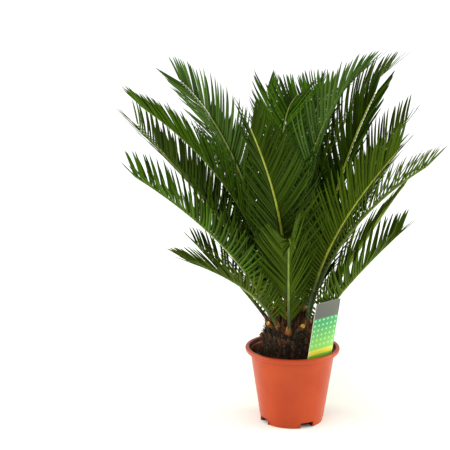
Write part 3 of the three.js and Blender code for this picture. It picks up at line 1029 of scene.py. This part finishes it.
def buildWool():
    places = spiralPlaces(wool, wool["first"])
    finishPiece(strewn("crown_wool", "crown_wool", wool, [places[::2], places[1::2]], woolMesh), "trunk")


buildCore()
buildBases()
buildFibres()
buildStubs()
buildScar()
buildWool()

# Plant label: a flat card on a stake, printed on its front.

label = {
    "direction": -48,
    "rimDistance": 0.077,
    "tilt": 10.5,
    "width": 0.068,
    "top": 0.267,
    "shoulder": 0.140,
    "shoulderDrop": 0.008,
    "stakeTip": 0.062,
    "stakeWidth": 0.016,
    "stakePoint": 0.018,
    "thickness": 0.0009,
    "edge": 0.0002,
    "cornerRadius": 0.003,
}

labelPrint = {  # in shares of the card's width and height
    "field": (0.1, 0.75),
    "cells": (6, 12),
    "dot": (0.24, 0.19),
    "dotsFrom": (0.24, 0.26),
    "dotStrength": 0.75,
    "bandFoot": (0.125, 0.13),
    "bandTop": (0.215, 0.21),
    "barFoot": (0.738, 0.742),
}

labelColours = {
    "bar": tint(80, 76, 73),
    "high": tint(38, 140, 92),
    "low": tint(128, 186, 70),
    "pale": tint(168, 212, 128),
    "band": tint(214, 196, 60),
    "plain": tint(232, 232, 226),
    "grey": tint(222, 222, 214),
}


def cardMaterial(name, roughness):
    material, surface, start, place = startMaterial(name)
    plug(surface, roughness=spots(place, 260, 2.0) * 0.10 + roughness,
         normal=bump(spots(place, 60, 2.0), 0.0003, 0.2))
    return material, surface, start, place


def labelMaterials():
    # The front's print runs in the card's own UV map: a dark bar, a field with rows of dots, a band.
    front, surface, start, place = cardMaterial("label_print", 0.26)
    uv = start.node("ShaderNodeUVMap", {"uv_map": "card"})
    across, along, depth = uv.parts()
    field = along.step(*labelPrint["field"]).colours(labelColours["low"], labelColours["high"])
    cellX, cellY = ((way * count).maths("FRACT") - 0.5
                    for way, count in zip((across, along), labelPrint["cells"]))
    dot = reachOf(cellX, cellY).step(*labelPrint["dot"])
    dots = dot * along.step(*labelPrint["dotsFrom"]) * labelPrint["dotStrength"]
    band = along.step(*labelPrint["bandFoot"]) * along.step(*labelPrint["bandTop"])
    printed = band.colours(dots.colours(field, labelColours["pale"]), labelColours["band"])
    plug(surface, colour=along.step(*labelPrint["barFoot"]).colours(printed, labelColours["bar"]))
    back, surface, start, place = cardMaterial("label_plain", 0.34)
    plug(surface, colour=spots(place, 200, 3.0).colours(labelColours["grey"], labelColours["plain"]))
    return back, front


def buildLabel():
    away = outwards(label["direction"])
    tilt = math.radians(label["tilt"])
    rise = up * math.cos(tilt) + away * math.sin(tilt)
    side = outwards(label["direction"] + 90)
    face = side.cross(rise).normalized()
    foot = away * label["rimDistance"] + up * pot["height"]

    def along(height):
        return (height - pot["height"]) / math.cos(tilt)

    top, shoulder, tip = along(label["top"]), along(label["shoulder"]), along(label["stakeTip"])
    half, stake, corner = label["width"] / 2, label["stakeWidth"] / 2, label["cornerRadius"]
    right = [(stake, tip + label["stakePoint"], 0.004), (stake, shoulder - label["shoulderDrop"], 0.003),
             (half, shoulder, corner), (half, top, corner)]
    left = [(-x, y, fillet) for x, y, fillet in reversed(right)]
    outline = filleted([(0, tip, 0.002), *right, *left], closed=True)
    middle = Vector((0, (top + tip) / 2))
    rings = []
    for depth, inset in [(-0.5, label["edge"]), (-0.3, 0), (0.3, 0), (0.5, label["edge"])]:
        flat = [middle + (point - middle) * (1 - inset / half) for point in outline]
        rings.append([foot + side * point.x + rise * point.y + face * depth * label["thickness"]
                      for point in flat])
    mesh = skinMesh("plant_label_card", rings)
    for material in labelMaterials():
        mesh.materials.append(material)
    layer = mesh.uv_layers.new(name="card")
    for polygon in mesh.polygons:
        if polygon.normal.dot(face) > 0.9:
            polygon.material_index = 1
        for loop in polygon.loop_indices:
            offset = mesh.vertices[mesh.loops[loop].vertex_index].co - foot
            height = (offset.dot(rise) - shoulder) / (top - shoulder)
            layer.data[loop].uv = (offset.dot(side) / label["width"] + 0.5, height)
    finishPiece(put(mesh), "label", "plant_label", sharpFrom=40)


buildLabel()

# Fronds: the rib's rule and one line of sizes for each frond.

crown = {
    "petioleSink": 0.007,
    "petioleShare": 0.12,
    "steps": 48,
    "ribHalfWidth": (0.0047, 0.0018),
}

leafTones = {  # shade, light, underside, how far apart the leaflets are and how wide
    "deep": ((16, 30, 1), (50, 74, 5), (48, 64, 6), 0.0072, 0.0058),
    "bright": ((22, 42, 1), (68, 104, 6), (62, 86, 10), 0.0072, 0.0056),
    "fresh": ((22, 42, 1), (66, 102, 8), (64, 86, 12), 0.0077, 0.0051),
    "olive": ((30, 44, 2), (74, 92, 12), (76, 92, 18), 0.0086, 0.0043),
    "slim": ((30, 46, 6), (76, 96, 22), (80, 98, 30), 0.0092, 0.0034),
    "moss": ((28, 42, 2), (70, 92, 10), (70, 90, 16), 0.0070, 0.0050),
    "bluish": ((38, 62, 18), (88, 120, 48), (94, 120, 54), 0.0086, 0.0050),
    "mint": ((30, 52, 16), (84, 116, 46), (84, 110, 46), 0.0092, 0.0043),
    "pale": ((62, 80, 16), (118, 136, 42), (120, 136, 50), 0.0094, 0.0044),
}

ribTones = {  # shade and light
    "stalk": ((40, 50, 20), (78, 92, 36)),
    "lime": ((84, 104, 22), (136, 152, 42)),
    "yellow": ((124, 128, 20), (176, 182, 44)),
    "amber": ((100, 96, 8), (150, 144, 20)),
}

ribParts = [  # first and last step, and how far the colour has gone from the stalk's to the rib's own
    (0, 10, 0.0),
    (10, 14, 0.3),
    (14, 19, 0.6),
    (19, 48, 1.0),
]

fronds = [  # turn, length, lean at foot and tip, bend, sweep, foot height, roll, opening, leaf and rib tone
    (233, 0.296, 25.6, 65.7, 0.47, -28, 0.197, -29, -12, "olive", "lime"),
    (193, 0.415, 1.2, 56.7, 0.39, -11, 0.201, -13, 17, "fresh", "lime"),
    (176, 0.488, 10.7, 55, 0.59, -42, 0.210, -14, 2, "slim", "lime"),
    (162, 0.505, 0, 55.8, 0.68, 17, 0.217, 16, -6, "fresh", "lime"),
    (124, 0.556, 26.1, 59.7, 1.88, 13, 0.221, -41, -2, "bluish", "lime"),
    (152, 0.222, 40, 58, 1.0, 0, 0.190, 0, 0, "olive", "lime"),
    (147, 0.430, 30, 52, 1.0, 0, 0.206, 0, 0, "deep", "lime"),
    (264, 0.484, 36.5, 29.1, 0.33, -42, 0.217, 9, 5, "deep", "yellow"),
    (265, 0.333, 27.9, 103.7, 4.47, 6, 0.188, 36, -7, "moss", "lime"),
    (109, 0.486, 1, 71.3, 1.78, -49, 0.227, 5, 16, "bright", "lime"),
    (81, 0.540, 13, 84, 2.10, -24, 0.223, 14, 10, "fresh", "lime"),
    (46, 0.524, 0.3, 57.6, 2.09, -16, 0.220, 6, -13, "mint", "lime"),
    (27, 0.557, 0, 65.3, 1.71, 15, 0.214, -3, -10, "slim", "amber"),
    (5, 0.461, 15, 31, 3.5, 20, 0.222, 60, -10, "deep", "yellow"),
    (10, 0.445, 4.6, 37.9, 0.61, -26, 0.206, 30, 5, "olive", "lime"),
    (318, 0.415, 7.9, 41.3, 0.81, 53, 0.195, -60, 1, "moss", "yellow"),
    (347, 0.419, 2.6, 56, 0.68, -18, 0.200, -1, 3, "slim", "lime"),
    (17, 0.312, 33.6, 36.6, 0.8, 1, 0.190, 0, -30, "pale", "lime"),
    (333, 0.284, 33.6, 45.3, 1.09, 19, 0.185, 28, 3, "moss", "lime"),
    (97, 0.522, 14, 59, 1.10, 0, 0.213, 0, 0, "fresh", "lime"),
    (116, 0.490, 26, 60, 0.9, 0, 0.209, 0, 0, "deep", "lime"),
    (80, 0.532, 16, 57, 1.0, 0, 0.206, 0, 0, "fresh", "lime"),
    (48, 0.430, 32, 56, 0.9, 0, 0.202, 0, 0, "deep", "lime"),
    (94, 0.420, 36, 62, 0.9, 0, 0.200, 0, 0, "olive", "lime"),
    (128, 0.330, 42, 66, 0.9, 0, 0.190, 0, 0, "olive", "lime"),
    (60, 0.300, 44, 64, 0.9, 0, 0.188, 0, 0, "olive", "lime"),
    (98, 0.270, 48, 68, 0.9, 0, 0.180, 0, 0, "olive", "lime"),
]

leaflet = {
    "shortest": 0.071,
    "lengthShare": 0.105,
    "footSize": 0.45,
    "fullFrom": 0.35,
    "tipSize": 0.5,
    "taperPower": 2.4,
    "keel": 38,
    "footAngle": 68,
    "tipAngle": 24,
    "anglePower": 0.74,
    "angleSpread": 3,
    "keelSpread": 6,
    "bow": 5,
    "droop": 0.03,
    "rootOut": 0.9,  # in half widths of the rib
    "rootDown": 0.1,
    "steepest": 1.3,
    "lowestTip": 0.158,
    "trunkRoom": 0.058,
    "trunkTop": 0.230,
}

leafletSpread = {  # the least and the most of each leaflet's own length, bow and droop
    "length": (0.97, 1.06),
    "bow": (0.3, 1.7),
    "droop": (-1.3, 0.5),
}

leafletShape = {  # in shares of the length and of the width: a thin blade with a groove and a ridge below
    "rings": (0, 0.06, 0.18, 0.45, 0.72, 0.9),
    "widest": 0.5,
    "footWidth": (0.95, 1.1),
    "footEnd": 0.2,
    "tipPower": 2.7,
    "fold": 0.24,
    "groove": 0.03,
    "ridge": (0.17, 0.07),
    "under": [0.35, 0, 0.3, 0, 0.35, 1],  # how much of the underside's colour each corner of a ring takes
    "slant": {0: 1, 0.06: 0.6},
}


def leafMaterial(name, shade, light, below):
    material, surface, start, place = startMaterial("leaf_" + name)
    own = start.node("ShaderNodeAttribute", {"attribute_name": "tone"}).out("Fac")
    under = start.node("ShaderNodeAttribute", {"attribute_name": "under"}).out("Fac")
    cloud = spots(place, 38, 2.0)
    grain = spots(place, 420, 3.0)
    upper = (own + cloud * 0.4 + grain * 0.25 - 0.33).step(0, 1).colours(shade, light)
    plug(surface, colour=(under * 0.75).colours(upper, below),
         roughness=grain * 0.16 + under * 0.14 + 0.46, normal=bump(grain, 0.0002, 0.35))
    setShine(surface, 0.04)
    return material


def ribMaterial(name, shade, light):
    material, surface, start, place = startMaterial("rib_" + name)
    grain = spots(place, 900, 2.0)
    share = (spots(place, 60, 3.0) * 1.2 + grain * 0.4 - 0.3).step(0, 1)
    plug(surface, colour=share.colours(shade, light), roughness=grain * 0.15 + 0.34,
         normal=bump(grain, 0.0002, 0.3))
    return material


def ribStations(row):
    turnAtFoot, length, footLean, tipLean, bend, sweep, foot, rollAtTip, opening = row[:9]
    spot = outwards(turnAtFoot) * (trunkRadius(foot) - crown["petioleSink"])
    spot = spot + trunk["centre"] + up * foot
    stations = []
    for k in range(crown["steps"] + 1):
        share = k / crown["steps"]
        lean = math.radians(mix(footLean, tipLean, share ** bend))
        turn = turnAtFoot + sweep * share * share
        roll = math.radians(rollAtTip * share)
        away = outwards(turn)
        along = away * math.sin(lean) + up * math.cos(lean)
        if stations:
            spot = spot + (stations[-1]["along"] + along) * (length / crown["steps"] / 2)
        side, upper = outwards(turn + 90), up * math.sin(lean) - away * math.cos(lean)
        stations.append({
            "share": share,
            "spot": spot,
            "along": along,
            "side": side * math.cos(roll) + upper * math.sin(roll),
            "upper": upper * math.cos(roll) - side * math.sin(roll),
            "ribLength": length,
            "opening": opening,
        })
    return stations


lineKeys = ("share", "ribLength", "opening", "along", "side", "upper")


def ribLines(rows, low, high):
    # Lines along the ribs of several fronds between two shares of their length.
    points, edges = [], []
    for row in rows:
        kept = [s for s in ribStations(row) if low - 1e-6 <= s["share"] <= high + 1e-6]
        edges += [(len(points) + k, len(points) + k + 1) for k in range(len(kept) - 1)]
        points += kept
    mesh = meshFrom("ribLines", [point["spot"] for point in points], [], edges)
    keep(mesh, **{key: [point[key] for point in points] for key in lineKeys})
    return put(mesh)


def leafletHalfWidth(run):
    widest = leafletShape["widest"]
    if run < widest:
        return 0.5 * mix(*leafletShape["footWidth"], smooth(run, 0, leafletShape["footEnd"]))
    return 0.5 * (1 - ((run - widest) / (1 - widest)) ** leafletShape["tipPower"])


def leafletMesh():
    # The slant later lays the foot along the rib, so that the feet make one unbroken row.
    rings, run, under, slant = [], [], [], []
    groove = leafletShape["groove"]
    ridge, ridgeBase = leafletShape["ridge"]
    for share in leafletShape["rings"]:
        half = leafletHalfWidth(share)
        fold = half * leafletShape["fold"]
        rings.append([
            (-half, share, -fold), (-half * 0.5, share, groove), (0, share, -groove),
            (half * 0.5, share, groove), (half, share, -fold), (0, share, -half * ridge - ridgeBase),
        ])
        run += [share] * 6
        under += leafletShape["under"]
        slant += [x * leafletShape["slant"].get(share, 0) for x, y, z in rings[-1]]
    vertices, faces = ringSkin(rings, closed=False)
    last = 6 * (len(rings) - 1)
    vertices.append((0, 1, -groove))
    faces.append(tuple(range(5, -1, -1)))
    faces += [(last + j, last + (j + 1) % 6, len(vertices) - 1) for j in range(6)]
    mesh = meshFrom("leafletShape", vertices, faces)
    keep(mesh, run=[*run, 1], under=[*under, leafletShape["under"][2]], slant=[*slant, 0])
    return faceOutwards(mesh)


# Leaflets in two rows along the ribs: shorter and steeper towards the tip, raised in a keel.
def buildLeafletTree():
    tree, given = newTree("leafletsAlongRibs", {
        "Object": ["Leaflet"], "Material": ["Material"], "Int": ["Seed"],
        "Float": ["Spacing", "Width", "Petiole Share", "Rib Foot", "Rib Tip", "Trunk Centre",
                  *inputNames(leaflet)],
    })
    start, seed = given["Geometry"], given["Seed"]
    even = {"Curve": curveOf(start), "Length": given["Spacing"]}
    line = start.node("GeometryNodeResampleCurve", {"mode": "LENGTH"}, even)
    share = attribute(start, "share")
    along, side, upper = [arrow(start, key) for key in ("along", "side", "upper")]
    spot = start.node("GeometryNodeInputPosition")
    blade = ((share - given["Petiole Share"]) / (1 - given["Petiole Share"])).maths("MAXIMUM", 0.0001)
    longest = attribute(start, "ribLength") * given["Length Share"] + given["Shortest"]
    taper = 1 - (1 - given["Tip Size"]) * blade ** given["Taper Power"]
    ruled = longest * blade.step(0, given["Full From"], given["Foot Size"], 1) * taper
    lean = mix(given["Foot Angle"], given["Tip Angle"], blade ** given["Angle Power"])
    lean = lean + attribute(start, "opening")
    halfWidth = mix(given["Rib Foot"], given["Rib Tip"], share)
    branches = []
    for hand in (1, -1):
        own = seed + 10 * (hand + 1)
        length = ruled * chance(start, own, *leafletSpread["length"])
        angle = lean + given["Angle Spread"] * chance(start, own + 1)
        keel = given["Keel"] + given["Keel Spread"] * chance(start, own + 2)
        across = side.times(hand).towards(upper, keel)
        face = upper.towards(side.times(-hand), keel)
        angleCos, angleSin = angle.turn()
        ruledWay = along.times(angleCos).plus(across.times(angleSin))
        bow = given["Bow"] * chance(start, own + 3, *leafletSpread["bow"])
        forward = along.towards(across, angle + bow)
        root = spot.plus(side.times(halfWidth * given["Root Out"] * hand))
        root = root.plus(upper.times(halfWidth * given["Root Down"] * -1.0))
        if hand < 0:
            root = root.plus(along.times(given["Spacing"] * 0.5))
        tip = root.plus(forward.times(length))
        tipX, tipY, tipZ = tip.parts()
        reach = reachOf(tipX - given["Trunk Centre"], tipY)
        clear = tipZ.maths("GREATER_THAN", given["Trunk Top"])
        clear = clear.maths("MAXIMUM", reach.maths("GREATER_THAN", given["Trunk Room"]))
        clear = clear * tipZ.maths("GREATER_THAN", given["Lowest Tip"])
        drop = upright(start, given["Droop"] * chance(start, own + 4, *leafletSpread["droop"]))
        bend = ruledWay.plus(forward.times(-1.0)).plus(drop).times(length)
        slope = (angleCos / angleSin).maths("MINIMUM", given["Steepest"]).maths("MAXIMUM", 0.0)
        skew = forward.times(slope * given["Width"] * hand)
        points = stored(line, "FLOAT_VECTOR", bend=bend, skew=skew)
        points = stored(points, "QUATERNION", turned=facing(start, forward, face))
        points = stored(points, "FLOAT", tone=chance(start, own + 5, 0, 1), reach=length, clear=clear)
        points = start.node("GeometryNodeSetPosition", None, {"Geometry": points, "Position": root})
        sizes = {0: given["Width"], 1: attribute(start, "reach"), 2: given["Width"]}
        branches.append(start.node("GeometryNodeInstanceOnPoints", None, {
            "Points": points,
            "Selection": attribute(start, "clear").maths("GREATER_THAN", 0.5),
            "Instance": shapeOf(start, given["Leaflet"]),
            "Rotation": attribute(start, "turned", "QUATERNION"),
            "Scale": start.node("ShaderNodeCombineXYZ", None, sizes),
        }))
    both = start.node("GeometryNodeJoinGeometry")
    for branch in branches:
        tree.links.new(branch.socket, both.socket.node.inputs[0])
    run = attribute(start, "run")
    offset = arrow(start, "bend").times(run * run)
    offset = offset.plus(arrow(start, "skew").times(attribute(start, "slant")))
    bent = start.node("GeometryNodeSetPosition", None, {"Geometry": realized(both), "Offset": offset})
    bent = without(bent, "bend", "skew", "slant", "turned", "reach", "clear", "run", *lineKeys)
    endTree(bent, given["Material"])
    return tree


def buildRibTree():
    tree, given = newTree("skinAlongRibs", {
        "Object": ["Profile"], "Material": ["Material"], "Float": ["Foot Size", "Tip Size"],
    })
    start = given["Geometry"]
    size = mix(given["Foot Size"], given["Tip Size"], attribute(start, "share"))
    normals = {"Curve": curveOf(start), "Normal": arrow(start, "upper")}
    curve = start.node("GeometryNodeSetCurveNormal", {"mode": "FREE"}, normals)
    loop = curveOf(shapeOf(start, given["Profile"]))
    parts = {"Curve": curve, "Profile Curve": loop, "Scale": size, "Fill Caps": True}
    skin = start.node("GeometryNodeCurveToMesh", None, parts)
    endTree(without(skin, *lineKeys), given["Material"])
    return tree


ribProfile = [  # across and upwards, in half widths: a flat top with soft corners and a ridge below
    (1.0, 0.30), (0.62, 0.50), (0.0, 0.34), (-0.62, 0.50),
    (-1.0, 0.30), (-0.55, -0.45), (0.0, -0.92), (0.55, -0.45),
]

stalkBase = [  # the swollen foot of each frond: distance, half width and half thickness
    (0.000, 0.0076, 0.0060), (0.006, 0.0086, 0.0068), (0.011, 0.0076, 0.0058),
    (0.016, 0.0054, 0.0044), (0.023, 0.0042, 0.0034),
]


def buildStalkBases():
    vertices, faces = [], []
    for row in fronds:
        foot = ribStations(row)[0]
        spot, along, side, upper = (foot[key] for key in ("spot", "along", "side", "upper"))
        addSkin(vertices, faces, [stalkRing(spot + along * distance, side, upper, 2 * wide, 2 * thick)
                                  for distance, wide, thick in stalkBase])
    mesh = faceOutwards(meshFrom("stalk_bases", vertices, faces))
    mesh.materials.append(roughStuff("stalk_base", bark["red"], bark["ochre"], 60, 700, 0.65, 0.0005, 0.5))
    finishPiece(put(mesh), "frond")


def buildLeaflets():
    tree = buildLeafletTree()
    blade = put(leafletMesh())
    ribFoot, ribTip = crown["ribHalfWidth"]
    shared = {**inputNames(leaflet), "Leaflet": blade, "Petiole Share": crown["petioleShare"],
              "Rib Foot": ribFoot, "Rib Tip": ribTip, "Trunk Centre": trunk["centre"].x, "Seed": 7}
    nodeOf = {row: "frond_%02d" % (k + 1) for k, row in enumerate(fronds)}
    for tone, (*colours, spacing, width) in leafTones.items():
        rows = [row for row in fronds if row[9] == tone]
        lines = ribLines(rows, crown["petioleShare"], 1)
        material = leafMaterial(tone, *[tint(*colour) for colour in colours])
        inputs = {**shared, "Spacing": spacing, "Width": width, "Material": material}
        piece = put(grown(lines, tree, inputs, "leaflets_" + tone))
        finishPiece(piece, "frond", *[nodeOf[row] for row in rows])
        discard(lines)
    discard(blade)


def buildRibs():
    tree = buildRibTree()
    loop = [(k, (k + 1) % len(ribProfile)) for k in range(len(ribProfile))]
    profile = put(meshFrom("ribProfile", [(x, y, 0) for x, y in ribProfile], [], loop))
    ribFoot, ribTip = crown["ribHalfWidth"]
    made = []
    for tone in ("lime", "yellow", "amber"):
        rows = [row for row in fronds if row[10] == tone]
        for k, (low, high, share) in enumerate(ribParts):
            colours = [[mix(a, b, share) for a, b in zip(tint(*old), tint(*new))]
                       for old, new in zip(ribTones["stalk"], ribTones[tone])]
            material = ribMaterial(tone + "_" + str(k), *colours)
            inputs = {"Profile": profile, "Material": material, "Foot Size": ribFoot, "Tip Size": ribTip}
            lines = ribLines(rows, low / crown["steps"], high / crown["steps"])
            made.append(grown(lines, tree, inputs, "rib"))
            discard(lines)
    finishPiece(put(joined(made, "frond_ribs")), "frond")
    discard(profile)


buildLeaflets()
buildRibs()
buildStalkBases()
